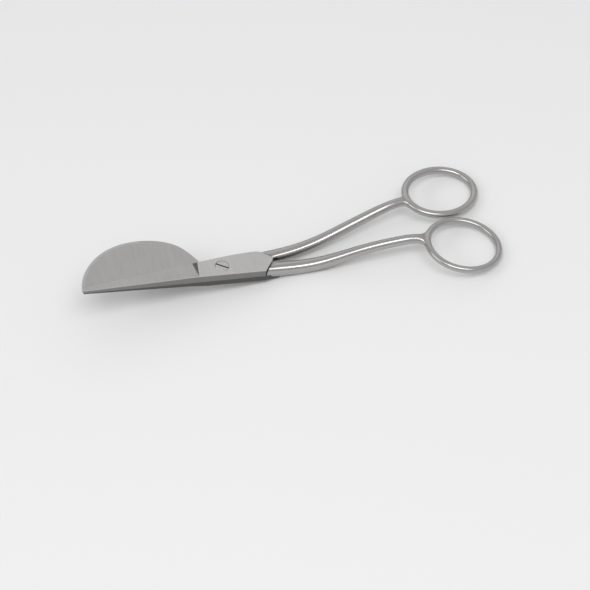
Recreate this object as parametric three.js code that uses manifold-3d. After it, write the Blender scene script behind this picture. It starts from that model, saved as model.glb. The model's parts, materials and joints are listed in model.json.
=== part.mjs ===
// Duckbill scissors with offset handles, shown closed and lying at rest.
//
// Two one-piece forged halves turn on a slotted screw. The cutting half is on top: a
// narrow knife blade, a flat pivot plate, a shank and a finger ring. The duckbill half
// is below: a wide half-round paddle that holds the work down, the matching plate,
// shank and ring. Both shanks rise together and then level out, so the rings sit
// higher than the blades and a hand can work with the blades flat on a surface.
//
// Everything is drawn in the blades' own frame and then laid down: X runs from the
// blade tips to the rings, Z is the pivot axis, pointing to the screw head, and the
// two halves meet on the plane Z = 0. Millimetres, +Z up.
import * as THREE from 'three';
import { mergeVertices } from 'three/addons/utils/BufferGeometryUtils.js';
import Module from 'manifold-3d';

const wasm = await Module();
wasm.setup();

// --- Driving dimensions ----------------------------------------------------------

const HALF_GAP = 0.15;            // each half stands this far off the parting plane
const CUTTING_THICK = 3.0;        // pivot plate of the cutting half
const DUCKBILL_THICK = 2.2;       // pivot plate of the duckbill half
const SPINE_Y = -4.5;             // the long straight near edge that both halves share

const TIP_X = -52.6;              // blade tips
const HEEL_X = -9.4;              // where the narrow blade's grind starts
const PLATE_END_NEAR_X = 15.8;    // the pivot plates end on a slant
const PLATE_END_FAR_X = 19.6;
const PLATE_END_FAR_Y = 1.0;
const END_GAP = 0.5;              // between a plate's slanted end and the other's shank

const TIP_SPINE_THICK = 1.1;      // the narrow blade's back at its tip
const EDGE_THICK = 0.3;           // the land left along the cutting edge
const EDGE_TIP_Y = -1.7;          // cutting edge, at the tip and at the heel
const EDGE_HEEL_Y = 5.2;
const HEEL_FAR_Y = 3.1;           // far corner of the pivot plate, above the step
const CHOIL_LEAN = 1.2;           // how far the step at the heel slopes forward
const CHOIL_SWEEP = 0.7;          // and how far it runs back on its way across the plate
const PLATE_SHOULDER = [20.2, 2.1];    // corners of the cutting plate's far end, where
const PLATE_SHOULDER_FAR = [16.6, 5.0];  // its flat top gives way to the round shank

const PADDLE_TIP_THICK = 0.9;     // the paddle thins steadily from the plate to its tip
const PADDLE_TIP_X = -52.3;
const PADDLE_TIP_Y = -2.8;        // where the rim turns into the short blunt tip
const PADDLE_TOP = new THREE.Vector2(-27.4, 19.6);   // widest point of the half-round
const PADDLE_ROOT_Y = 3.6;        // far edge of the duckbill plate beside the paddle
const PADDLE_EDGE_Y = -4.4;       // the paddle's own straight cutting edge
const PADDLE_EDGE_LAND = 0.4;     // its upright land, above a steep ground bevel
const PADDLE_BEVEL_WIDE = 0.4;

const HEAD_R = 2.5;               // pivot screw, head flush with the plate
const HEAD_DEEP = 1.5;
const HEAD_CONE = 0.6;            // height of the head's countersunk underside
const SCREW_R = 1.5;
const SCREW_CLEAR = 0.25;
const SLOT_WIDE = 0.65;
const SLOT_DEEP = 0.8;
const SLOT_TURN = THREE.MathUtils.degToRad(-33);

// The oval finger rings. The far one is the thumb's: a little longer, with a wider band.
const RING_Z = 16.4;
const CUTTING_RING = {
  x: 87.3, y: 15.15, longR: 14.2, shortR: 11.8, turn: THREE.MathUtils.degToRad(20),
  halfWide: 1.45, halfHigh: 1.4,
};
const DUCKBILL_RING = {
  x: 87.6, y: -13.6, longR: 13.4, shortR: 12.9, turn: THREE.MathUtils.degToRad(-31),
  halfWide: 1.25, halfHigh: 1.3,
};

// Stations along the shanks, from inside the pivot plate to the ring's band: the centre,
// the section's half width and half height, and how far its corners are filled.
const CUTTING_SHANK = [
  [13.0, 3.5, 1.35, 2.1, 1.6, 1.11], [19.8, 4.0, 1.6, 2.25, 1.75, 1.11],
  [28.9, 4.6, 2.85, 2.2, 2.15, 1.08], [37.9, 5.95, 4.95, 2.15, 2.15, 1.05],
  [46.9, 7.45, 8.45, 2.1, 2.1, 1.03], [55.9, 8.95, 12.25, 2.05, 2.0, 1.03],
  [64.0, 10.5, 15.2, 1.85, 1.85, 1.02], [68.5, 11.4, 16.1, 1.8, 1.75, 1],
  [74.0, 12.4, RING_Z, 1.8, 1.3, 1],
];
const DUCKBILL_SHANK = [
  [13.0, -1.7, 0.4, 2.5, 2.55, 1.09], [19.8, -1.7, 0.4, 2.5, 2.55, 1.09],
  [28.9, -2.6, 1.4, 2.45, 2.5, 1.07], [37.9, -4.0, 4.0, 2.3, 2.4, 1.05],
  [46.9, -5.25, 8.45, 2.0, 2.1, 1.03], [55.9, -6.6, 12.7, 1.85, 1.9, 1.02],
  [64.0, -7.8, 15.5, 1.8, 1.85, 1.02], [69.0, -8.0, 16.3, 1.8, 1.75, 1],
  [75.0, -9.0, RING_Z, 1.8, 1.2, 1],
];

const ROUND_STEPS = 32;
const RING_STEPS = 48;
const BAND_SIDES = 16;
const SHANK_STEPS = 36;
const FAR = 200;                  // reach of the cutting tools, past the whole part
const ASIDE = 20;                 // reach of the plan regions, past the plates

// --- Solids ----------------------------------------------------------------------

function solidOf(geometry) {
  const bare = geometry.clone();
  bare.deleteAttribute('normal');
  bare.deleteAttribute('uv');
  const merged = mergeVertices(bare, 1e-4);
  return new wasm.Manifold(new wasm.Mesh({
    numProp: 3,
    vertProperties: new Float32Array(merged.attributes.position.array),
    triVerts: new Uint32Array(merged.index.array),
  }));
}

function geometryOf(solid) {
  const mesh = solid.getMesh();
  const geometry = new THREE.BufferGeometry();
  geometry.setAttribute('position', new THREE.BufferAttribute(mesh.vertProperties, mesh.numProp));
  geometry.setIndex(new THREE.BufferAttribute(mesh.triVerts, 1));
  return geometry;
}

// A flat plate with the given outline, from one height to another.
function plate(shape, bottom, top) {
  const geometry = new THREE.ExtrudeGeometry(shape, {
    depth: top - bottom, bevelEnabled: false, curveSegments: ROUND_STEPS,
  });
  return solidOf(geometry.translate(0, 0, bottom));
}

// Everything on one side of the plane through three points: the side that toward points to.
function beyondPlane([a, b, c], toward) {
  const corners = [a, b, c].map((corner) => new THREE.Vector3(...corner));
  const { normal } = new THREE.Plane().setFromCoplanarPoints(...corners);
  if (normal.dot(new THREE.Vector3(...toward)) < 0) normal.negate();
  const block = new THREE.BoxGeometry(FAR, FAR, FAR).translate(0, 0, FAR / 2);
  block.applyQuaternion(new THREE.Quaternion().setFromUnitVectors(new THREE.Vector3(0, 0, 1), normal));
  return solidOf(block.translate(...a));
}

// A flat-sided region of the plan, from corners given as [x, y].
function region(corners, bottom, top) {
  return plate(new THREE.Shape(corners.map((corner) => new THREE.Vector2(...corner))), bottom, top);
}

// The steel inside a closed skin of rings of points: section(i, angle) gives a point.
function skin(steps, closed, section) {
  const positions = [];
  const index = [];
  for (let i = 0; i < steps; i += 1) {
    for (let j = 0; j < BAND_SIDES; j += 1) positions.push(...section(i, (2 * Math.PI * j) / BAND_SIDES));
  }
  const at = (i, j) => (i % steps) * BAND_SIDES + (j % BAND_SIDES);
  for (let i = 0; i < (closed ? steps : steps - 1); i += 1) {
    for (let j = 0; j < BAND_SIDES; j += 1) {
      index.push(at(i, j), at(i + 1, j), at(i, j + 1), at(i + 1, j), at(i + 1, j + 1), at(i, j + 1));
    }
  }
  for (let j = 1; !closed && j < BAND_SIDES - 1; j += 1) {
    index.push(at(0, 0), at(0, j), at(0, j + 1));
    index.push(at(steps - 1, 0), at(steps - 1, j + 1), at(steps - 1, j));
  }
  const geometry = new THREE.BufferGeometry();
  geometry.setAttribute('position', new THREE.Float32BufferAttribute(positions, 3));
  geometry.setIndex(index);
  return solidOf(geometry);
}

// A forged shank through its stations: nearly square at the plate, round at the ring.
function bentBar(stations) {
  const curve = new THREE.CatmullRomCurve3(stations.map(([x, y, z]) => new THREE.Vector3(x, y, z)), false, 'centripetal');
  const sizes = new THREE.CatmullRomCurve3(
    stations.map(([, , , wide, high, fill]) => new THREE.Vector3(wide, high, fill)), false, 'centripetal');
  const up = new THREE.Vector3(0, 0, 1);
  return skin(SHANK_STEPS, false, (i, angle) => {
    const share = i / (SHANK_STEPS - 1);
    const size = sizes.getPoint(share);
    const along = curve.getTangent(share);
    const across = new THREE.Vector3().crossVectors(along, up).normalize();
    const over = new THREE.Vector3().crossVectors(across, along);
    const fill = 1 + (size.z - 1) * Math.sin(2 * angle) ** 2;
    return curve.getPoint(share)
      .addScaledVector(across, size.x * fill * Math.cos(angle))
      .addScaledVector(over, size.y * fill * Math.sin(angle));
  });
}

// A finger ring: an oval hoop with an oval band.
function fingerRing(ring) {
  return skin(RING_STEPS, true, (i, angle) => {
    const round = (2 * Math.PI * i) / RING_STEPS;
    const band = ring.halfWide * Math.cos(angle);
    const oval = new THREE.Vector3(
      (ring.longR + band) * Math.cos(round), (ring.shortR + band) * Math.sin(round), ring.halfHigh * Math.sin(angle));
    return oval.applyAxisAngle(new THREE.Vector3(0, 0, 1), ring.turn).add(new THREE.Vector3(ring.x, ring.y, RING_Z));
  });
}

// The web where a shank flares into its ring: concave on both sides, thinner than the band.
function web(stations, ring) {
  const end = new THREE.Vector2(...stations[stations.length - 1]);
  const inward = new THREE.Vector2(ring.x, ring.y).sub(end).normalize();
  const across = new THREE.Vector2(-inward.y, inward.x);
  const at = (along, aside) => end.clone().addScaledVector(inward, along).addScaledVector(across, aside);
  const [footHalf, bendHalf, flareHalf] = [1.4, 1.8, 3.8];    // half widths, shank to band
  const [footAt, bendAt, flareAt] = [-3, -0.8, 0.9];          // and their places along it
  const corners = [at(footAt, -footHalf), at(flareAt, -flareHalf), at(flareAt, flareHalf), at(footAt, footHalf)];
  const shape = new THREE.Shape([corners[0]]);
  const [bendNear, bendFar] = [at(bendAt, -bendHalf), at(bendAt, bendHalf)];
  shape.quadraticCurveTo(bendNear.x, bendNear.y, corners[1].x, corners[1].y);
  shape.lineTo(corners[2].x, corners[2].y);
  shape.quadraticCurveTo(bendFar.x, bendFar.y, corners[3].x, corners[3].y);
  const halfHigh = ring.halfHigh * 0.8;
  const geometry = new THREE.ExtrudeGeometry(shape, {
    depth: 2 * halfHigh, bevelEnabled: false, curveSegments: 6,
  });
  return solidOf(geometry.translate(0, 0, RING_Z - halfHigh));
}

function roundPin(radius, bottom, top) {
  const pin = new THREE.CylinderGeometry(radius, radius, top - bottom, ROUND_STEPS);
  return solidOf(pin.rotateX(Math.PI / 2).translate(0, 0, (top + bottom) / 2));
}

// A closed turned solid about the pivot axis, from [radius, height] corners.
function turned(corners) {
  const profile = corners.map(([radius, height]) => new THREE.Vector2(radius, height));
  return solidOf(new THREE.LatheGeometry(profile, ROUND_STEPS).rotateX(Math.PI / 2));
}

// --- Cutting half ----------------------------------------------------------------

function cuttingHalf() {
  const outline = new THREE.Shape();
  outline.moveTo(TIP_X + 0.5, SPINE_Y);
  outline.lineTo(PLATE_END_NEAR_X, SPINE_Y);
  outline.lineTo(PLATE_END_FAR_X, PLATE_END_FAR_Y);
  outline.lineTo(20.2, 2.6);
  outline.quadraticCurveTo(18.2, 6.0, 13.9, 5.9);
  outline.quadraticCurveTo(4.0, 4.9, -6.0, 4.0);
  outline.lineTo(HEEL_X + 0.8, HEEL_FAR_Y);
  outline.lineTo(HEEL_X - CHOIL_LEAN * 0.3, EDGE_HEEL_Y);
  outline.lineTo(TIP_X + 0.6, EDGE_TIP_Y);
  outline.quadraticCurveTo(TIP_X, EDGE_TIP_Y - 1.4, TIP_X + 0.1, SPINE_Y + 0.6);
  let half = plate(outline, HALF_GAP, CUTTING_THICK);

  // The grind: one plane from the back of the blade down to the cutting edge.
  const grind = beyondPlane([
    [HEEL_X, SPINE_Y, CUTTING_THICK],
    [HEEL_X, EDGE_HEEL_Y, HALF_GAP + EDGE_THICK],
    [TIP_X, SPINE_Y, TIP_SPINE_THICK],
  ], [0, 0, 1]);
  // The step that the grind leaves at the heel, sloping forward as it goes down.
  const step = beyondPlane([
    [HEEL_X, SPINE_Y, CUTTING_THICK],
    [HEEL_X - CHOIL_LEAN, SPINE_Y, 0],
    [HEEL_X + CHOIL_SWEEP, HEEL_FAR_Y, CUTTING_THICK],
  ], [-1, 0, 0]);
  half = half.subtract(grind.intersect(step));

  // The forged shank runs into the plate. The plate's top is ground flat up to a slanted
  // line, and below, the shank drops beside the duckbill plate but never onto it.
  const groundOff = region([
    [0, -ASIDE], [PLATE_END_FAR_X, -ASIDE], [PLATE_END_FAR_X, PLATE_END_FAR_Y],
    PLATE_SHOULDER, PLATE_SHOULDER_FAR, [14.6, 12], [0, 12],
  ], CUTTING_THICK, ASIDE);
  const duckbillPlate = region([
    [-ASIDE, -ASIDE], [21.6, -ASIDE], [21.6, -1.8], [17.0, 6.2], [14.6, 12], [-ASIDE, 12],
  ], -ASIDE, HALF_GAP);
  const shank = bentBar(CUTTING_SHANK).subtract(groundOff).subtract(duckbillPlate);
  half = half.add(shank).add(web(CUTTING_SHANK, CUTTING_RING)).add(fingerRing(CUTTING_RING));

  const hole = turned([
    [0, -1], [SCREW_R + SCREW_CLEAR, -1], [SCREW_R + SCREW_CLEAR, CUTTING_THICK - HEAD_DEEP - SCREW_CLEAR],
    [HEAD_R + SCREW_CLEAR, CUTTING_THICK - HEAD_DEEP + HEAD_CONE], [HEAD_R + SCREW_CLEAR, CUTTING_THICK + 1],
    [0, CUTTING_THICK + 1],
  ]);
  return half.subtract(hole);
}

// --- Duckbill half ---------------------------------------------------------------

function duckbillHalf() {
  const paddle = new THREE.Shape();
  paddle.moveTo(PADDLE_TIP_X + 0.5, PADDLE_EDGE_Y);
  paddle.lineTo(0, PADDLE_EDGE_Y);
  paddle.lineTo(0, PADDLE_ROOT_Y);
  paddle.lineTo(-5.6, PADDLE_ROOT_Y);
  paddle.lineTo(-6.6, 5.6);
  paddle.bezierCurveTo(-10.4, 13.3, -18.2, PADDLE_TOP.y, PADDLE_TOP.x, PADDLE_TOP.y);
  paddle.bezierCurveTo(-43.1, PADDLE_TOP.y, -51.8, 6.7, PADDLE_TIP_X, PADDLE_TIP_Y);
  let half = plate(paddle, -DUCKBILL_THICK, -HALF_GAP);

  // Thinned from below, and ground away below the straight edge to a cutting edge.
  half = half.subtract(beyondPlane([
    [HEEL_X, 0, -DUCKBILL_THICK], [HEEL_X, 1, -DUCKBILL_THICK], [PADDLE_TIP_X, 0, -PADDLE_TIP_THICK],
  ], [0, 0, -1]));
  half = half.subtract(beyondPlane([
    [HEEL_X, PADDLE_EDGE_Y, -HALF_GAP - PADDLE_EDGE_LAND],
    [HEEL_X, PADDLE_EDGE_Y + PADDLE_BEVEL_WIDE, -DUCKBILL_THICK],
    [TIP_X, PADDLE_EDGE_Y, -HALF_GAP - PADDLE_EDGE_LAND],
  ], [0, -1, -1]));

  const outline = new THREE.Shape();
  const plateStartX = HEEL_X - 1.6;
  outline.moveTo(plateStartX, SPINE_Y);
  outline.lineTo(PLATE_END_NEAR_X, SPINE_Y);
  outline.lineTo(21.5, -3.6);
  outline.lineTo(20.4, -1.4);
  outline.lineTo(16.0, 5.2);
  outline.quadraticCurveTo(6.0, 4.4, -4.6, PADDLE_ROOT_Y);
  outline.lineTo(plateStartX, PADDLE_ROOT_Y);
  half = half.add(plate(outline, -DUCKBILL_THICK, -HALF_GAP));

  // The shank's shoulder stands up beside the cutting plate's slanted end, with a gap.
  const cuttingPlate = region([
    [-ASIDE, -ASIDE], [5.2, -ASIDE], [PLATE_END_NEAR_X + END_GAP, SPINE_Y], [18.4, -2.0],
    [20.1, -0.8], [21.8, -0.3], [23.4, 1.2], [23.4, ASIDE], [-ASIDE, ASIDE],
  ], -HALF_GAP, ASIDE);
  const shank = bentBar(DUCKBILL_SHANK).subtract(cuttingPlate);
  half = half.add(shank).add(web(DUCKBILL_SHANK, DUCKBILL_RING)).add(fingerRing(DUCKBILL_RING));

  return half.subtract(roundPin(SCREW_R + SCREW_CLEAR, -ASIDE, ASIDE));
}

// --- Pivot screw -----------------------------------------------------------------

function pivotScrew() {
  const body = turned([
    [0, -DUCKBILL_THICK], [SCREW_R, -DUCKBILL_THICK], [SCREW_R, CUTTING_THICK - HEAD_DEEP],
    [HEAD_R, CUTTING_THICK - HEAD_DEEP + HEAD_CONE], [HEAD_R, CUTTING_THICK], [0, CUTTING_THICK],
  ]);
  const slot = new THREE.BoxGeometry(4 * HEAD_R, SLOT_WIDE, 2 * SLOT_DEEP);
  slot.rotateZ(SLOT_TURN).translate(0, 0, CUTTING_THICK);
  return body.subtract(solidOf(slot));
}

// --- Assembly, laid down at rest -------------------------------------------------

const steel = (color, roughness) => new THREE.MeshStandardMaterial({ color, metalness: 1, roughness });

function piece(name, solid, material) {
  const mesh = new THREE.Mesh(geometryOf(solid), material);
  mesh.name = name;
  return mesh;
}

const scissors = new THREE.Group();
scissors.add(
  piece('cutting_half', cuttingHalf(), steel(0xb9b7b4, 0.32)),
  piece('duckbill_half', duckbillHalf(), steel(0xaba9a6, 0.36)),
  piece('pivot_screw', pivotScrew(), steel(0xb0aeab, 0.34)),
);

// At rest the scissors tip back until the ring ends and the belly of the duckbill shank
// both touch the surface. The angle is found by halving, because both are round.
function lowest(tilt, fromX, toX) {
  let low = Infinity;
  const sin = Math.sin(tilt);
  const cos = Math.cos(tilt);
  for (const mesh of scissors.children) {
    const position = mesh.geometry.attributes.position;
    for (let i = 0; i < position.count; i += 1) {
      const x = position.getX(i);
      if (x >= fromX && x <= toX) low = Math.min(low, position.getZ(i) * cos - x * sin);
    }
  }
  return low;
}
let tiltLow = 0;
let tiltHigh = Math.PI / 6;
for (let i = 0; i < 40; i += 1) {
  const tilt = (tiltLow + tiltHigh) / 2;
  const ringsTooHigh = lowest(tilt, DUCKBILL_RING.x, FAR) > lowest(tilt, -FAR, DUCKBILL_RING.x / 2);
  if (ringsTooHigh) tiltLow = tilt;
  else tiltHigh = tilt;
}
scissors.rotation.y = tiltHigh;

// The origin is below the middle of the part, on the surface that it lies on.
const laidDown = new THREE.Group();
laidDown.add(scissors);
laidDown.updateMatrixWorld(true);
const box = new THREE.Box3().setFromObject(laidDown, true);
scissors.position.set(-(box.min.x + box.max.x) / 2, -(box.min.y + box.max.y) / 2, -box.min.z);

export default laidDown;
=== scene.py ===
"""Duckbill scissors with offset handles, closed and lying at rest on a pale surface.

Two forged stainless halves and one slotted screw. Each half is a flat-ground blade and
pivot plate joined to a polished shank and finger ring.
"""
import json
from math import atan2, cos, pi, radians, sin, sqrt

import bmesh
import bpy
from mathutils import Euler, Matrix, Vector
from mathutils.geometry import interpolate_bezier


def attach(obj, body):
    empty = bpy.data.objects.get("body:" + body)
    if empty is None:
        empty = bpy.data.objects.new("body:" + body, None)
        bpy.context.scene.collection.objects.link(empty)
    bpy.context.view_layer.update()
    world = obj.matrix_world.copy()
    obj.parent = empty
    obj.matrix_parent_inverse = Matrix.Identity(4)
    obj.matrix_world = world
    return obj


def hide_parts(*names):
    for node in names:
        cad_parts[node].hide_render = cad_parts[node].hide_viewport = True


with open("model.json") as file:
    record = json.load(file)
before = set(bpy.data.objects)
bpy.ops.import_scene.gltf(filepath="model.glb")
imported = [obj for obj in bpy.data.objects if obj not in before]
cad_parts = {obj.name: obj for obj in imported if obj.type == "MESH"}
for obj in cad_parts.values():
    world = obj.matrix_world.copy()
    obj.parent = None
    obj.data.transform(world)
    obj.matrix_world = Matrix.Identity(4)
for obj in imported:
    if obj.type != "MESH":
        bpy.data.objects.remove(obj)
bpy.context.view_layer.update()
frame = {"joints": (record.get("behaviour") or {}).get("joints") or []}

# --- How the scissors lie --------------------------------------------------------
# The pieces are drawn in millimetres in the blades' own frame: X from the tips to the
# rings, Z along the pivot towards the screw head, and the halves meeting at Z = 0.
# The pivot joint gives that frame's place, leaning back as the scissors lie at rest.

pivot = frame["joints"][0]
lean = atan2(pivot["axis"][0], pivot["axis"][2])
LAID_DOWN = Matrix.Translation(pivot["pos_m"]) @ Matrix.Rotation(lean, 4, "Y") @ Matrix.Scale(0.001, 4)

# --- Camera ----------------------------------------------------------------------
# From the blades' near side and above, with a long lens. It looks at the middle of the
# scissors' length, just on the near side of the near shank.

CAMERA_AIM = LAID_DOWN @ Vector((24.4, -15.3, 0))
CAMERA_AWAY = 0.6856
CAMERA_HEADING = radians(68.3)      # of the view, from the blades' X towards their Y
CAMERA_DOWN = radians(45.4)
CAMERA_ROLL = radians(10.2)

camera = bpy.data.objects.new("camera", bpy.data.cameras.new("camera"))
bpy.context.scene.collection.objects.link(camera)
camera.data.lens = 113.9
camera.data.clip_start = 0.01
facing = Euler((pi / 2 - CAMERA_DOWN, 0, CAMERA_HEADING - pi / 2)).to_matrix().to_4x4()
facing = facing @ Matrix.Rotation(CAMERA_ROLL, 4, "Z")
camera.matrix_world = (Matrix.Translation(CAMERA_AIM) @ Matrix.Rotation(lean, 4, "Y") @ facing
                       @ Matrix.Translation((0, 0, CAMERA_AWAY)))
bpy.context.scene.camera = camera

# --- Cutting half ----------------------------------------------------------------
# The upper half, forged in one piece from stainless steel. The narrow blade is ground in
# one plane from its thick back to the edge, the pivot plate is ground flat, and the
# shank and the finger ring are left round and polished.

HALF_GAP = 0.05            # the halves all but touch along the parting plane
SPINE_Y = -4.5
TIP_X = -52.6
HEEL_X = -9.4
CUTTING_THICK = 3.0
TIP_THICK = 1.1
EDGE_THICK = 0.2
HEEL_EDGE = Vector((HEEL_X - 0.5, 5.2))      # where the cutting edge starts
HEEL_PLATE = Vector((HEEL_X + 0.8, 3.1))     # the pivot plate's corner above it
PLATE_END_NEAR = Vector((15.8, SPINE_Y))
PLATE_END_FAR = Vector((19.6, 1.0))
PLATE_SHOULDER = Vector((20.2, 2.1))         # where the plate's end turns into the shank's side
EDGE_ROUNDING = 0.13       # the ground edges are just broken
CORNER_TURN = radians(24)  # an edge that turns more than this is a corner
CLEAR = 20                 # cutting blocks reach this far out, past the plates
CLEAR_HEIGHT = 10          # and this far up or down
NEARLY = 0.01              # slack when places are compared

RING_Z = 16.4              # both rings lie level, above the blades
BAND_SQUARENESS = 1.1      # and their bands are a little fuller than round
RING_PARTS = 32            # sections round a ring, before smoothing
SMOOTHING = 3              # subdivision levels of the shanks and the rings
ROUND_PARTS = 64           # sides of the screw and its holes


class Link:
    """A shader socket that can be used in sums: each sum adds one Math node."""

    def __init__(self, socket):
        self.socket = socket

    def node(self, kind, settings=None, inputs=None, output=0):
        """Adds any node to the same material, with its settings made before its inputs."""
        tree = self.socket.id_data
        made = tree.nodes.new("ShaderNode" + kind)
        for name, value in (settings or {}).items():
            setattr(made, name, value)
        for name, value in (inputs or {}).items():
            if isinstance(value, Link):
                tree.links.new(value.socket, made.inputs[name])
            else:
                made.inputs[name].default_value = value
        return Link(made.outputs[output])

    def sum(self, operation, first, second):
        return self.node("Math", {"operation": operation}, {0: first, 1: second})

    def __add__(self, other):
        return self.sum("ADD", self, other)

    def __mul__(self, other):
        return self.sum("MULTIPLY", self, other)

    __radd__ = __add__
    __rmul__ = __mul__


def steel(name):
    """A new metal and its place on the piece: (material, shader node, Link to the place)."""
    material = bpy.data.materials.new(name)
    material.use_nodes = True
    shader = material.node_tree.nodes["Principled BSDF"]
    shader.inputs["Metallic"].default_value = 1
    place = material.node_tree.nodes.new("ShaderNodeTexCoord").outputs["Object"]
    return material, shader, Link(place)


def feed(shader, name, link):
    link.socket.id_data.links.new(link.socket, shader.inputs[name])


def ground_steel(name, tone, grain_turn):
    """Satin steel with the fine straight lines that a grinding belt leaves."""
    material, shader, place = steel(name)
    fine = place.node("Mapping", None, {
        "Vector": place, "Rotation": (0, 0, grain_turn), "Scale": (5200, 130, 700)})
    lines = place.node("TexNoise", None, {
        "Vector": fine, "Scale": 1, "Detail": 4, "Roughness": 0.65})
    broad = place.node("Mapping", None, {
        "Vector": place, "Rotation": (0, 0, grain_turn), "Scale": (900, 60, 200)})
    bands = place.node("TexNoise", None, {"Vector": broad, "Scale": 1, "Detail": 2})
    smudge = place.node("TexNoise", None, {"Vector": place, "Scale": 90, "Detail": 3, "Roughness": 0.6})
    wear = lines * 0.45 + bands * 0.3 + smudge * 0.25
    dark = tuple(part * 0.72 for part in tone) + (1,)
    light = tuple(min(part * 1.25, 1) for part in tone) + (1,)
    colour = place.node("Mix", {"data_type": "RGBA"}, {
        "Factor": wear, 6: dark, 7: light}, output=2)
    feed(shader, "Base Color", colour)
    feed(shader, "Roughness", 0.26 + lines * 0.14 + smudge * 0.1)
    relief = place.node("Bump", None, {
        "Height": lines * 0.7 + bands * 0.3, "Strength": 0.22, "Distance": 0.00004})
    feed(shader, "Normal", relief)
    return material


def polished_steel(name, tone, roughness):
    """Steel buffed bright by hand: nearly a mirror, with faint waves and fine hairlines."""
    material, shader, place = steel(name)
    waves = place.node("TexNoise", None, {"Vector": place, "Scale": 160, "Detail": 1})
    hairs = place.node("TexNoise", None, {"Vector": place, "Scale": 2600, "Detail": 3, "Roughness": 0.7})
    dark = tuple(part * 0.93 for part in tone) + (1,)
    light = tuple(min(part * 1.05, 1) for part in tone) + (1,)
    colour = place.node("Mix", {"data_type": "RGBA"}, {
        "Factor": waves, 6: dark, 7: light}, output=2)
    feed(shader, "Base Color", colour)
    feed(shader, "Roughness", roughness + hairs * 0.03 + waves * 0.04)
    relief = place.node("Bump", None, {
        "Height": hairs * 0.04 + waves * 0.96, "Strength": 0.05, "Distance": 0.00004})
    feed(shader, "Normal", relief)
    return material


WARM_STEEL = (0.60, 0.59, 0.575)
blade_ground = ground_steel("blade_ground", WARM_STEEL, radians(4))
# The sides' ground steel carries painted shade: its tone is far darker than the tops', for sides that face
# away from the light.
side_ground_painted_shade = ground_steel("side_ground_painted_shade", (0.25, 0.245, 0.24), radians(70))
# The broken edges are polished steel with a painted highlight: their tone is brighter than the steel
# beside them.
edge_polish_painted_highlight = polished_steel("edge_polish_painted_highlight", (0.80, 0.79, 0.78), 0.2)
handle_polish = polished_steel("handle_polish", (0.46, 0.45, 0.44), 0.22)
FINISHES = [blade_ground, side_ground_painted_shade, edge_polish_painted_highlight, handle_polish]
TOP, SIDE, EDGE, POLISH = range(4)


def stand_up(bm, heights, thickness):
    """Thickens the flat faces of a plan: up to a height for each vertex, or down."""
    flat = list(bm.faces)
    raised = bmesh.ops.extrude_face_region(bm, geom=flat, use_keep_orig=True)["geom"]
    for vertex in [part for part in raised if isinstance(part, bmesh.types.BMVert)]:
        vertex.co.z = heights(vertex.co, thickness)
    bmesh.ops.recalc_face_normals(bm, faces=bm.faces)


def outline_face(bm, corners, known):
    """A face of the plan at the parting height; corners shared with a face use its vertices."""
    face_verts = []
    for corner in corners:
        key = (round(corner[0], 3), round(corner[1], 3))
        if key not in known:
            known[key] = bm.verts.new((corner[0], corner[1], 0))
        face_verts.append(known[key])
    return bm.faces.new(face_verts)


def curve(start, start_pull, end_pull, end, parts):
    """Points along a bend, from its two ends and the points that pull it, ends left out."""
    points = interpolate_bezier(*[Vector((*p, 0)) for p in (start, start_pull, end_pull, end)], parts + 1)
    return [point.xy for point in points[1:-1]]


def break_edges(bm, offset, segments, wanted):
    """Rounds the wanted edges and gives the new faces the polished edge finish, painted brighter as a
    highlight.
    """
    edges = [edge for edge in bm.edges if wanted(edge)]
    bmesh.ops.bevel(bm, geom=edges, offset=offset, offset_type="OFFSET", segments=segments,
                    profile=0.5, affect="EDGES", material=EDGE, clamp_overlap=True)


def made(name, bm, finishes=FINISHES):
    """The finished bmesh as an object in place, with its finishes in order."""
    mesh = bpy.data.meshes.new(name)
    bmesh.ops.transform(bm, matrix=LAID_DOWN, verts=bm.verts)
    bm.to_mesh(mesh)
    bm.free()
    for finish in finishes:
        mesh.materials.append(finish)
    thing = bpy.data.objects.new(name, mesh)
    bpy.context.scene.collection.objects.link(thing)
    return thing


def prism(name, corners, bottom, top):
    """A straight-sided block to cut with."""
    bm = bmesh.new()
    base = bm.faces.new([bm.verts.new((*corner, bottom)) for corner in corners])
    sides = bmesh.ops.extrude_face_region(bm, geom=[base])["geom"]
    bmesh.ops.translate(bm, vec=(0, 0, top - bottom),
                        verts=[part for part in sides if isinstance(part, bmesh.types.BMVert)])
    bmesh.ops.recalc_face_normals(bm, faces=bm.faces)
    for face in bm.faces:
        face.material_index = TOP if abs(face.normal.z) > 0.5 else SIDE
    return made(name, bm)


def turned(name, profile, finish):
    """A solid turned about the pivot axis, from (radius, height) corners on and off the axis."""
    bm = bmesh.new()
    verts = [bm.verts.new((radius, 0, height)) for radius, height in profile]
    edges = [bm.edges.new(pair) for pair in zip(verts, verts[1:])]
    bmesh.ops.spin(bm, geom=verts + edges, cent=(0, 0, 0), axis=(0, 0, 1), angle=2 * pi,
                   steps=ROUND_PARTS, use_merge=True)
    bmesh.ops.remove_doubles(bm, verts=bm.verts, dist=0.001)
    bmesh.ops.recalc_face_normals(bm, faces=bm.faces)
    for face in bm.faces:
        face.material_index = finish
    return made(name, bm)


def settle(thing):
    """Applies the modifiers, so that the next cut works on the finished mesh."""
    shape = thing.evaluated_get(bpy.context.evaluated_depsgraph_get())
    mesh = bpy.data.meshes.new_from_object(shape)
    thing.modifiers.clear()
    thing.data = mesh


def work(thing, operation, tool):
    """Cuts the tool from a piece or joins it on, and uses the tool up."""
    cut = thing.modifiers.new("cut", "BOOLEAN")
    cut.operation = operation
    cut.solver = "EXACT"
    cut.object = tool
    settle(thing)
    bpy.data.objects.remove(tool)


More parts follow.
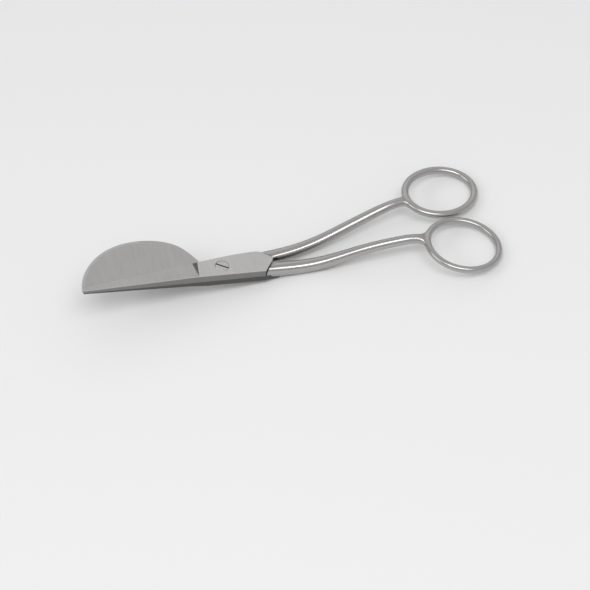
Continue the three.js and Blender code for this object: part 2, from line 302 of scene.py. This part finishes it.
def hoop(bm, centre, along, half_wide, half_high, squareness):
    """One eight-sided section of a bar. Its sides are drawn out so that smoothing them
    gives the asked half sizes; squareness above 1 fills the corners."""
    across = Vector((0, 0, 1)).cross(along).normalized()
    over = along.normalized().cross(across)
    drawn_out = 6 / (4 + sqrt(2) * squareness)
    section = bmesh.ops.create_circle(bm, segments=8, radius=drawn_out)["verts"]
    for index, vertex in enumerate(section):
        fill = squareness if index % 2 else 1
        aside, high, _ = vertex.co * fill
        vertex.co = centre + across * aside * half_wide + over * high * half_high
    return list({edge for vertex in section for edge in vertex.link_edges})


def handle(name, stations, ring_centre, long_r, short_r, long_turn, half_wide, half_high):
    """A shank through the stations, flaring into an oval finger ring. Each station is a
    place on the centre line with the section's half width, half height and squareness."""
    bm = bmesh.new()
    points = [Vector(station[:3]) for station in stations]
    toward = points[-1] - ring_centre
    start = atan2(toward.y, toward.x) - long_turn
    ring_line = []
    for part in range(RING_PARTS):
        angle = start + 2 * pi * part / RING_PARTS
        oval = Vector((long_r * cos(angle), short_r * sin(angle), 0))
        ring_line.append(ring_centre + Matrix.Rotation(long_turn, 3, "Z") @ oval)
    # Smoothing pulls a bent line in, so the ring and the shank are both drawn out first.
    grown = 3 / (2 + cos(2 * pi / RING_PARTS))
    hoops = []
    for part, centre in enumerate(ring_line):
        along = ring_line[(part + 1) % RING_PARTS] - ring_line[part - 1]
        placed = ring_centre + (centre - ring_centre) * grown
        hoops.append(hoop(bm, placed, along, half_wide, half_high, BAND_SQUARENESS))
    for part in range(RING_PARTS):
        bmesh.ops.bridge_loops(bm, edges=hoops[part - 1] + hoops[part])
    shank = []
    for index, point in enumerate(points[:-1]):
        before = points[max(index - 1, 0)]
        after = points[index + 1]
        lead = point if index == 0 else point * (4 / 3) - (before + after) / 6
        shank.append(hoop(bm, lead, after - before, *stations[index][3:]))
    for first, second in zip(shank, shank[1:]):
        bmesh.ops.bridge_loops(bm, edges=first + second)
    bmesh.ops.holes_fill(bm, edges=shank[0], sides=8)
    # The ring opens where the shank comes in, and the two are bridged.
    mouth = min((v for e in hoops[0] for v in e.verts), key=lambda v: (v.co - points[-2]).length)
    rim = {edge for face in mouth.link_faces for edge in face.edges if mouth not in edge.verts}
    bmesh.ops.delete(bm, geom=[mouth], context="VERTS")
    bmesh.ops.bridge_loops(bm, edges=list(rim) + shank[-1])
    bmesh.ops.recalc_face_normals(bm, faces=bm.faces)
    for face in bm.faces:
        face.material_index = POLISH
    thing = made(name, bm)
    rounding = thing.modifiers.new("rounding", "SUBSURF")
    rounding.levels = rounding.render_levels = SMOOTHING
    settle(thing)
    return thing


SMALL_FACE = 3e-6          # square metres: the narrow facets of curved sides are smaller


def finish_off(thing, node, body):
    """Marks the edges sharp, keeps broad faces flat and ties the piece to its CAD node."""
    thing.data.set_sharp_from_angle(angle=radians(30))
    for face in thing.data.polygons:
        facet = face.material_index == SIDE and face.area < SMALL_FACE
        face.use_smooth = facet or face.material_index in (EDGE, POLISH)
    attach(thing, body)
    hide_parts(node)


CUTTING_SHANK = [
    # x, y, z, half width, half height, squareness
    (13.0, 3.5, 1.35, 2.1, 1.6, 1.25),
    (19.8, 4.0, 1.6, 2.25, 1.75, 1.25),
    (28.9, 4.6, 2.85, 2.2, 2.15, 1.18),
    (37.9, 5.95, 4.95, 2.15, 2.15, 1.12),
    (46.9, 7.45, 8.45, 2.1, 2.1, 1.08),
    (55.9, 8.95, 12.25, 2.05, 2.0, 1.06),
    (64.0, 10.5, 15.2, 1.85, 1.85, 1.04),
    (68.5, 11.4, 16.1, 1.8, 1.75, 1.0),
    (71.5, 11.9, RING_Z, 1.85, 1.7, 1.0),
    (74.0, 12.4, RING_Z),
]
CUTTING_RING = {
    "ring_centre": Vector((87.3, 15.15, RING_Z)), "long_r": 14.17, "short_r": 11.8,
    "long_turn": radians(20), "half_wide": 1.42, "half_high": 1.36}


def grind_height(place, thickness):
    """How high the cutting half stands: level on the plate, sloping to the edge on the blade."""
    slope_x = (CUTTING_THICK - TIP_THICK) / (HEEL_X - TIP_X)
    slope_y = (EDGE_THICK - CUTTING_THICK) / (HEEL_EDGE.y - SPINE_Y)
    on_blade = place.x < HEEL_X + NEARLY
    level = thickness + (place.x - HEEL_X) * slope_x + (place.y - SPINE_Y) * slope_y
    return max(level, EDGE_THICK) if on_blade else thickness


plan = bmesh.new()
corners = {}
heel = Vector((HEEL_X, SPINE_Y))
tip_near = Vector((TIP_X + 0.5, SPINE_Y))
tip_edge = Vector((TIP_X + 1.2, -1.9))
tip_round = curve(tip_near, (TIP_X - 0.1, SPINE_Y + 0.5), (TIP_X + 0.1, -2.4), tip_edge, 6)
outline_face(plan, [tip_near, heel, HEEL_EDGE, tip_edge, *reversed(tip_round)], corners)
outline_face(plan, [heel, HEEL_PLATE, HEEL_EDGE], corners)
far_corner = Vector((14.2, 5.9))
far_edge = curve(far_corner, (8, 5.75), (0, 4.5), HEEL_PLATE, 8)
plate_corner = curve(PLATE_SHOULDER, (18.8, 3.4), (16.6, 5.6), far_corner, 6)
outline_face(plan, [heel, PLATE_END_NEAR, PLATE_END_FAR, PLATE_SHOULDER, *plate_corner, far_corner,
                    *far_edge, HEEL_PLATE], corners)
stand_up(plan, grind_height, CUTTING_THICK)
bmesh.ops.translate(plan, vec=(0, 0, HALF_GAP), verts=[v for v in plan.verts if v.co.z == 0])
for face in plan.faces:
    face.material_index = TOP if abs(face.normal.z) > 0.5 else SIDE
break_edges(plan, EDGE_ROUNDING, 2, lambda edge: edge.calc_face_angle(0) > CORNER_TURN
            and min(v.co.z for v in edge.verts) > HALF_GAP + 0.3)    # all but the cutting edge
cutting_half = made("cutting_half_steel", plan)

# The plate's top is ground flat up to a slanted line, and below, the shank drops beside
# the duckbill plate but never onto it.
shank = handle("cutting_shank", CUTTING_SHANK, **CUTTING_RING)
work(shank, "DIFFERENCE", prism("plate_grind", [
    (0, -CLEAR), (PLATE_END_FAR.x, -CLEAR), PLATE_END_FAR, PLATE_SHOULDER,
    (16.6, 5.0), (14.6, 12), (0, 12)], CUTTING_THICK, CLEAR_HEIGHT))
work(shank, "DIFFERENCE", prism("room_for_duckbill", [
    (-CLEAR, -CLEAR), (21.3, -CLEAR), (21.3, -1.8), (16.8, 6.2),
    (14.4, 12), (-CLEAR, 12)], -CLEAR_HEIGHT, HALF_GAP))
work(cutting_half, "UNION", shank)

HEAD_R = 2.5
HEAD_SEAT = CUTTING_THICK - 1.5      # height of the countersunk head's small end
HEAD_CONE = 0.6                      # and from there to its full width
SCREW_R = 1.5
SCREW_CLEAR = 0.1
work(cutting_half, "DIFFERENCE", turned("screw_hole", [
    (0, -1), (SCREW_R + SCREW_CLEAR, -1), (SCREW_R + SCREW_CLEAR, HEAD_SEAT - SCREW_CLEAR),
    (HEAD_R + SCREW_CLEAR, HEAD_SEAT + HEAD_CONE - SCREW_CLEAR), (HEAD_R + SCREW_CLEAR, CUTTING_THICK + 1),
    (0, CUTTING_THICK + 1)], SIDE))
finish_off(cutting_half, "cutting_half", "cutting_side")

# --- Duckbill half ---------------------------------------------------------------
# The lower half, forged like the upper. Its blade is a thin half-round paddle with a
# rounded rim and its own straight edge under the narrow blade, and the root of its shank
# stands up beside the cutting plate's slanted end.

DUCKBILL_THICK = 2.2
THREAD_CLEAR = 0.02
PADDLE_TIP_THICK = 0.9
PADDLE_TIP_X = -52.3
PADDLE_TOP = Vector((-27.4, 19.6))
PADDLE_EDGE_Y = -4.4
EDGE_BEVEL = 0.4           # how far the ground side under the straight edge leans in
DUCKBILL_SHANK = [
    (13.0, -1.7, 0.4, 2.5, 2.5, 1.2),
    (19.8, -1.7, 0.4, 2.5, 2.5, 1.2),
    (28.9, -2.6, 1.4, 2.45, 2.45, 1.15),
    (37.9, -4.0, 4.0, 2.3, 2.4, 1.1),
    (46.9, -5.25, 8.45, 2.0, 2.1, 1.06),
    (55.9, -6.6, 12.7, 1.85, 1.9, 1.04),
    (64.0, -7.8, 15.5, 1.8, 1.85, 1.04),
    (69.0, -8.0, 16.3, 1.8, 1.75, 1.0),
    (72.3, -8.5, RING_Z, 1.85, 1.7, 1.0),
    (75.0, -9.0, RING_Z),
]
DUCKBILL_RING = {
    "ring_centre": Vector((87.6, -13.6, RING_Z)), "long_r": 13.4, "short_r": 12.9,
    "long_turn": radians(-31), "half_wide": 1.23, "half_high": 1.26}
END_GAP = 0.4              # between the cutting plate's slanted end and this shank
RIM_ROUNDING = 0.3         # the paddle's rim does not snag the cloth
RIM_TURN = radians(60)     # its edges turn more than this
paddle_ground = ground_steel("paddle_ground", (0.485, 0.475, 0.462), radians(-3))
# The duckbill half's sides, the leaning bevel under its straight edge among them, carry painted shade:
# ground steel toned nearly black, for sides that face down and away from the light.
duckbill_side_painted_shade = ground_steel("duckbill_side_painted_shade", (0.12, 0.118, 0.118), radians(70))
# The strip inside the rim is ground steel toned lighter than the paddle: a painted highlight.
rim_painted_highlight = ground_steel("rim_painted_highlight", (0.53, 0.53, 0.525), radians(40))
RIM = len(FINISHES)        # the rim's finish comes after the four shared ones
RIM_BAND = 1.1             # width of the lighter strip painted inside the rim as a highlight


def paddle_depth(place, thickness):
    """How far down the duckbill half reaches: the paddle thins steadily to its tip."""
    share = max(0, (HEEL_X - place.x) / (HEEL_X - PADDLE_TIP_X))
    return -thickness + (thickness - PADDLE_TIP_THICK) * share


plan = bmesh.new()
corners = {}
neck_near = Vector((-12.0, PADDLE_EDGE_Y))
neck_far = Vector((-10.6, 12.1))
root_near = Vector((-6.0, SPINE_Y))
root_far = Vector((-5.4, 3.7))
paddle_tip = Vector((PADDLE_TIP_X, -2.8))
rim_left = curve(PADDLE_TOP, (-43.1, PADDLE_TOP.y), (-51.8, 6.7), paddle_tip, 18)
rim_right = curve(neck_far, (-13.6, 17.0), (-20.0, PADDLE_TOP.y), PADDLE_TOP, 10)
outline_face(plan, [neck_near, neck_far, *rim_right, PADDLE_TOP, *rim_left, paddle_tip,
                    (PADDLE_TIP_X + 0.5, PADDLE_EDGE_Y)], corners)
neck_curve = curve(neck_far, (-8.3, 9.0), (-7.4, 6.4), root_far, 6)
outline_face(plan, [neck_near, root_near, root_far, *reversed(neck_curve), neck_far], corners)
outline_face(plan, [root_near, PLATE_END_NEAR, (21.5, -3.6), (20.4, -1.4), (16.0, 5.2), (6.0, 4.6),
                    root_far], corners)
stand_up(plan, paddle_depth, DUCKBILL_THICK)
bmesh.ops.translate(plan, vec=(0, 0, -HALF_GAP), verts=[v for v in plan.verts if v.co.z == 0])
bmesh.ops.translate(plan, vec=(0, EDGE_BEVEL, 0), verts=[
    v for v in plan.verts
    if v.co.y < PADDLE_EDGE_Y + NEARLY and v.co.x < neck_near.x + NEARLY and v.co.z < -HALF_GAP])
plan.normal_update()
for face in plan.faces:
    face.material_index = TOP if abs(face.normal.z) > 0.5 else SIDE
paddle_top = max(plan.faces, key=lambda face: face.normal.z * face.calc_area())
bmesh.ops.inset_region(plan, faces=[paddle_top], thickness=RIM_BAND, use_even_offset=True)
# Only the rim on the tip's side, and not its straight edge, gets the painted highlight.
for face in {face for vertex in paddle_top.verts for face in vertex.link_faces} - {paddle_top}:
    place = face.calc_center_median()
    if place.x < PADDLE_TOP.x and place.y > -1:
        face.material_index = RIM
break_edges(plan, RIM_ROUNDING, 3, lambda edge: edge.calc_face_angle(0) > RIM_TURN and (
    min(v.co.y for v in edge.verts) > 3.9 and max(v.co.x for v in edge.verts) < -6      # round the paddle
    or max(v.co.x for v in edge.verts) < TIP_X + 0.6))                                  # and at its tip
duckbill_half = made("duckbill_half_steel", plan, [
    paddle_ground, duckbill_side_painted_shade, edge_polish_painted_highlight, handle_polish, rim_painted_highlight])

# The shank's root stands up beside the cutting plate's slanted end, with a gap.
shank = handle("duckbill_shank", DUCKBILL_SHANK, **DUCKBILL_RING)
work(shank, "DIFFERENCE", prism("room_for_cutting", [
    (-CLEAR, -CLEAR), (5.2, -CLEAR), (PLATE_END_NEAR.x + END_GAP, SPINE_Y), (18.4, -2.0), (20.1, -0.8),
    (21.8, -0.3), (23.4, 1.2), (23.4, CLEAR), (-CLEAR, CLEAR)], -HALF_GAP, CLEAR_HEIGHT))
work(duckbill_half, "UNION", shank)
work(duckbill_half, "DIFFERENCE", turned("thread_hole", [
    (0, -5), (SCREW_R + THREAD_CLEAR, -5), (SCREW_R + THREAD_CLEAR, 5), (0, 5)], SIDE))
finish_off(duckbill_half, "duckbill_half", "duckbill_side")

# --- Pivot screw -----------------------------------------------------------------
# A countersunk slotted screw. Its head is ground off flush with the cutting plate and
# its end with the duckbill plate's underside.

HEAD_BREAK = 0.05          # the head's edge, just broken
SLOT_WIDE = 0.62
SLOT_DEEP = 0.8
SLOT_TURN = radians(-33)
SLOT_REACH = 4             # the cutter runs out past the head

pivot_screw = turned("pivot_screw_steel", [
    (0, -DUCKBILL_THICK), (SCREW_R, -DUCKBILL_THICK), (SCREW_R, HEAD_SEAT),
    (HEAD_R, HEAD_SEAT + HEAD_CONE), (HEAD_R, CUTTING_THICK - HEAD_BREAK),
    (HEAD_R - HEAD_BREAK, CUTTING_THICK), (0, CUTTING_THICK)], TOP)
along = Matrix.Rotation(SLOT_TURN, 2) @ Vector((SLOT_REACH, 0))
aside = Matrix.Rotation(SLOT_TURN, 2) @ Vector((0, SLOT_WIDE / 2))
work(pivot_screw, "DIFFERENCE", prism("slot", [
    along + aside, aside - along, -along - aside, along - aside],
    CUTTING_THICK - SLOT_DEEP, CUTTING_THICK + 1))
finish_off(pivot_screw, "pivot_screw", "duckbill_side")

# --- Floor, light and background -------------------------------------------------
# A plain pale surface. A long soft light overhead, towards the near side, draws the bright
# strips on the shanks. A smaller one on the left brightens the rings, and a weak one
# stands behind.

FLOOR_HALF = 3             # metres
PAPER = (0.82, 0.82, 0.815, 1)
SKY_LOW = (0.10, 0.10, 0.105, 1)
SKY_HIGH = (0.60, 0.60, 0.61, 1)
grid = bmesh.new()
bmesh.ops.create_grid(grid, x_segments=1, y_segments=1, size=FLOOR_HALF)
mesh = bpy.data.meshes.new("floor")
grid.to_mesh(mesh)
grid.free()
floor = bpy.data.objects.new("floor", mesh)
bpy.context.scene.collection.objects.link(floor)
paper = bpy.data.materials.new("paper")
paper.use_nodes = True
paper.node_tree.nodes["Principled BSDF"].inputs["Base Color"].default_value = PAPER
paper.node_tree.nodes["Principled BSDF"].inputs["Roughness"].default_value = 0.8
mesh.materials.append(paper)

LIGHTS = {
    # name: (place, size across and along, watts)
    "overhead": ((0.0, -0.42, 0.95), (0.9, 0.45), 4.4),
    "back": ((0.2, 1.0, 0.75), (1.2, 0.5), 0.6),
    "left": ((-1.05, 0.0, 0.75), (0.7, 0.45), 2.4),
}
for name, (place, size, watts) in LIGHTS.items():
    lamp = bpy.data.lights.new(name, "AREA")
    lamp.shape = "RECTANGLE"
    lamp.size, lamp.size_y = size
    lamp.energy = watts
    light = bpy.data.objects.new(name, lamp)
    light.location = place
    light.rotation_euler = (Vector((0, 0, 0)) - light.location).to_track_quat("-Z", "Y").to_euler()
    bpy.context.scene.collection.objects.link(light)

world = bpy.data.worlds.new("studio")
world.use_nodes = True
background = world.node_tree.nodes["Background"]
# The sky is even overhead and darkens towards the horizon.
seen = Link(world.node_tree.nodes.new("ShaderNodeTexCoord").outputs["Generated"])
height = seen.node("SeparateXYZ", None, {"Vector": seen}, output=2)
share = seen.node("MapRange", {"interpolation_type": "SMOOTHSTEP"}, {
    "Value": height, "From Min": -0.1, "From Max": 0.2})
sky = seen.node("Mix", {"data_type": "RGBA"}, {
    "Factor": share, 6: SKY_LOW, 7: SKY_HIGH}, output=2)
feed(background, "Color", sky)
bpy.context.scene.world = world
bpy.context.scene.view_settings.view_transform = "Standard"
